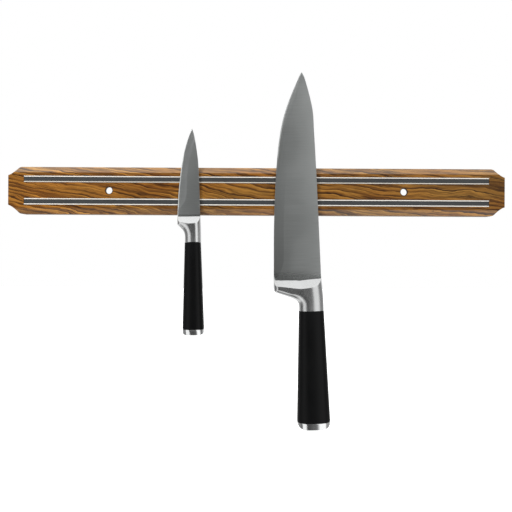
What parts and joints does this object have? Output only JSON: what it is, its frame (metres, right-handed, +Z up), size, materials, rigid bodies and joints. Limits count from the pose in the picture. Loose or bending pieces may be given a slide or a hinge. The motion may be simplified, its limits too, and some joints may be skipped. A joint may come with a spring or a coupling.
{
  "type": "magnetic knife bar with knives",
  "caption": "Wall-mounted wooden knife bar with inlaid magnetic tracks, holding a paring knife and a chef's knife, handles down.",
  "frame": {"origin": "centre of the wooden bar's back face, which lies on the wall", "axes": "+X along the bar to the right seen from the front, +Y into the wall, +Z up"},
  "size_m": [0.5, 0.0289, 0.3569],
  "materials": {
    "oiled_wood": "oiled, dark diagonal grain",
    "pole_steel": "bright, fine brushed",
    "filler": "matte dark grey",
    "magnet": "raw ferrite",
    "blade_steel": "satin ground",
    "polished_steel": "polished",
    "soft_grip": "soft-touch matte black",
    "core_plastic": "moulded",
    "nut_steel": "turned"
  },
  "bodies": {
    "rack": {"wooden_bar": "oiled_wood", "upper_pole_strip_top": "pole_steel", "upper_pole_strip_bottom": "pole_steel", "lower_pole_strip_top": "pole_steel", "lower_pole_strip_bottom": "pole_steel", "upper_filler_strip": "filler", "lower_filler_strip": "filler", "upper_magnet_1": "magnet", "upper_magnet_2": "magnet", "upper_magnet_3": "magnet", "upper_magnet_4": "magnet", "upper_magnet_5": "magnet", "upper_magnet_6": "magnet", "upper_magnet_7": "magnet", "upper_magnet_8": "magnet", "upper_magnet_9": "magnet", "lower_magnet_1": "magnet", "lower_magnet_2": "magnet", "lower_magnet_3": "magnet", "lower_magnet_4": "magnet", "lower_magnet_5": "magnet", "lower_magnet_6": "magnet", "lower_magnet_7": "magnet", "lower_magnet_8": "magnet", "lower_magnet_9": "magnet"},
    "paring_knife": {"paring_blade": "blade_steel", "paring_bolster": "polished_steel", "paring_grip": "soft_grip", "paring_grip_core": "core_plastic", "paring_end_cap": "polished_steel", "paring_tang_nut": "nut_steel"},
    "chef_knife": {"chef_blade": "blade_steel", "chef_bolster": "polished_steel", "chef_grip": "soft_grip", "chef_grip_core": "core_plastic", "chef_end_cap": "polished_steel", "chef_tang_nut": "nut_steel"}
  },
  "joints": [
    {"name": "paring_knife_pull_off", "type": "slide", "parent": "rack", "child": "paring_knife", "axis": [0, -1, 0], "range_m": [0, 0.08]},
    {"name": "chef_knife_pull_off", "type": "slide", "parent": "rack", "child": "chef_knife", "axis": [0, -1, 0], "range_m": [0, 0.08]}
  ]
}
